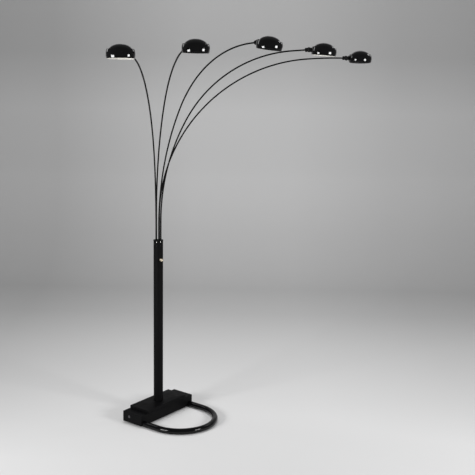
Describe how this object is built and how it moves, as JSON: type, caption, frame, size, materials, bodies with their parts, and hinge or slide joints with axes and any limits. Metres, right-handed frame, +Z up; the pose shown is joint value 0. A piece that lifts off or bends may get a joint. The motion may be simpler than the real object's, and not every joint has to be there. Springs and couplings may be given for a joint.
{
  "type": "tree floor lamp",
  "caption": "Black floor lamp with thin arched arms fanning from a round pole, small bowl shades, a weighted box base and a U-shaped floor loop of tube.",
  "frame": {"origin": "on the floor under the pole's axis, in the ballast's flat underside", "axes": "+Z up along the pole, +X along the base's long side toward the end without the inlet, -Y toward the floor loop and the shades"},
  "size_m": [1.6695, 0.9704, 2.0384],
  "materials": {
    "black_lacquer": "gloss black enamel on folded sheet steel",
    "black_tube": "gloss black enamel on bent steel tube",
    "black_pole": "gloss black enamel on round steel tube",
    "black_cap": "satin black on a turned cap",
    "black_arm": "gloss black enamel on thin steel tube",
    "black_collar": "satin black on turned metal",
    "black_pin": "blackened steel of pins and lower screws",
    "black_shade": "gloss black enamel outside, white inside",
    "cast_iron": "rough casting",
    "plated_steel": "bright plated steel",
    "pale_brass": "turned pale brass",
    "black_plastic": "moulded black plastic",
    "grey_rubber": "soft grey bushing",
    "white_holder": "white moulded lampholder",
    "frosted_glass": "frosted bulb glass"
  },
  "bodies": {
    "base": {"base_housing": "black_lacquer", "base_top_cover": "black_lacquer", "ballast_weight": "cast_iron", "pole_socket": "cast_iron", "loop_tube": "black_tube", "loop_end_plug_left": "black_plastic", "loop_end_plug_right": "black_plastic", "loop_clamp_left": "cast_iron", "loop_clamp_right": "cast_iron", "inlet_bushing": "grey_rubber", "pole_tube": "black_pole", "top_cap": "black_cap", "arm_seat_disc": "black_plastic", "cap_screw_1": "plated_steel", "cap_screw_2": "plated_steel", "cap_screw_3": "black_pin", "cap_screw_4": "black_pin", "dimmer_body": "black_plastic", "dimmer_nut": "plated_steel"},
    "knob": {"dimmer_knob": "pale_brass"},
    "arm_1": {"arm_1": "black_arm"},
    "neck_1": {"swivel_collar_1": "black_collar", "pivot_pin_1": "black_pin"},
    "head_1": {"lamp_cup_1": "black_collar", "shade_1": "black_shade", "lampholder_1": "white_holder", "bulb_1": "frosted_glass"},
    "arm_2": {"arm_2": "black_arm"},
    "neck_2": {"swivel_collar_2": "black_collar", "pivot_pin_2": "black_pin"},
    "head_2": {"lamp_cup_2": "black_collar", "shade_2": "black_shade", "lampholder_2": "white_holder", "bulb_2": "frosted_glass"},
    "arm_3": {"arm_3": "black_arm"},
    "neck_3": {"swivel_collar_3": "black_collar", "pivot_pin_3": "black_pin"},
    "head_3": {"lamp_cup_3": "black_collar", "shade_3": "black_shade", "lampholder_3": "white_holder", "bulb_3": "frosted_glass"},
    "arm_4": {"arm_4": "black_arm"},
    "neck_4": {"swivel_collar_4": "black_collar", "pivot_pin_4": "black_pin"},
    "head_4": {"lamp_cup_4": "black_collar", "shade_4": "black_shade", "lampholder_4": "white_holder", "bulb_4": "frosted_glass"},
    "arm_5": {"arm_5": "black_arm"},
    "neck_5": {"swivel_collar_5": "black_collar", "pivot_pin_5": "black_pin"},
    "head_5": {"lamp_cup_5": "black_collar", "shade_5": "black_shade", "lampholder_5": "white_holder", "bulb_5": "frosted_glass"}
  },
  "joints": [
    {"name": "knob_turn", "type": "hinge", "parent": "base", "child": "knob", "pos_m": [-0.01311, -0.03245, 0.875], "axis": [-0.3746, -0.9272, 0], "range_deg": [0, 270]},
    {"name": "arm_swing_1", "type": "hinge", "parent": "base", "child": "arm_1", "pos_m": [-0.01284, 0.00417, 0.978], "axis": [0, 0, -1], "range_deg": [-12, 45]},
    {"name": "neck_roll_1", "type": "hinge", "parent": "arm_1", "child": "neck_1", "pos_m": [-0.75892, -0.4934, 1.94957], "axis": [-0.8308, -0.5541, 0.0523], "range_deg": [-60, 60]},
    {"name": "shade_nod_1", "type": "hinge", "parent": "neck_1", "child": "head_1", "pos_m": [-0.77055, -0.50116, 1.9503], "axis": [0.5554, -0.8315, 0.0139], "range_deg": [-40, 40]},
    {"name": "arm_swing_2", "type": "hinge", "parent": "base", "child": "arm_2", "pos_m": [0, 0.0135, 0.978], "axis": [0, 0, -1], "range_deg": [-17, 12]},
    {"name": "neck_roll_2", "type": "hinge", "parent": "arm_2", "child": "neck_2", "pos_m": [-0.46712, -0.60865, 1.98519], "axis": [-0.5998, -0.7989, 0.0436], "range_deg": [-60, 60]},
    {"name": "shade_nod_2", "type": "hinge", "parent": "neck_2", "child": "head_2", "pos_m": [-0.47552, -0.61983, 1.9858], "axis": [0.7997, -0.6004, 0], "range_deg": [-40, 40]},
    {"name": "arm_swing_3", "type": "hinge", "parent": "base", "child": "arm_3", "pos_m": [-0.00793, -0.01092, 0.978], "axis": [0, 0, -1], "range_deg": [-15, 17]},
    {"name": "neck_roll_3", "type": "hinge", "parent": "arm_3", "child": "neck_3", "pos_m": [-0.12124, -0.70282, 2.00931], "axis": [-0.1609, -0.9823, 0.0958], "range_deg": [-60, 60]},
    {"name": "shade_nod_3", "type": "hinge", "parent": "neck_3", "child": "head_3", "pos_m": [-0.12349, -0.71657, 2.01065], "axis": [0.9853, -0.1654, -0.0417], "range_deg": [-40, 40]},
    {"name": "arm_swing_4", "type": "hinge", "parent": "base", "child": "arm_4", "pos_m": [0.00793, -0.01092, 0.978], "axis": [0, 0, -1], "range_deg": [-20, 15]},
    {"name": "neck_roll_4", "type": "hinge", "parent": "arm_4", "child": "neck_4", "pos_m": [0.21399, -0.75899, 1.97985], "axis": [0.2648, -0.9613, 0.0767], "range_deg": [-60, 60]},
    {"name": "shade_nod_4", "type": "hinge", "parent": "neck_4", "child": "head_4", "pos_m": [0.21769, -0.77245, 1.98092], "axis": [0.9635, 0.2605, -0.0609], "range_deg": [-40, 40]},
    {"name": "arm_swing_5", "type": "hinge", "parent": "base", "child": "arm_5", "pos_m": [0.01284, 0.00417, 0.978], "axis": [0, 0, -1], "range_deg": [-45, 20]},
    {"name": "neck_roll_5", "type": "hinge", "parent": "arm_5", "child": "neck_5", "pos_m": [0.65824, -0.70263, 1.94095], "axis": [0.6743, -0.7384, 0.007], "range_deg": [-60, 60]},
    {"name": "shade_nod_5", "type": "hinge", "parent": "neck_5", "child": "head_5", "pos_m": [0.66768, -0.71297, 1.94105], "axis": [0.7349, 0.6719, 0.0924], "range_deg": [-40, 40]}
  ]
}
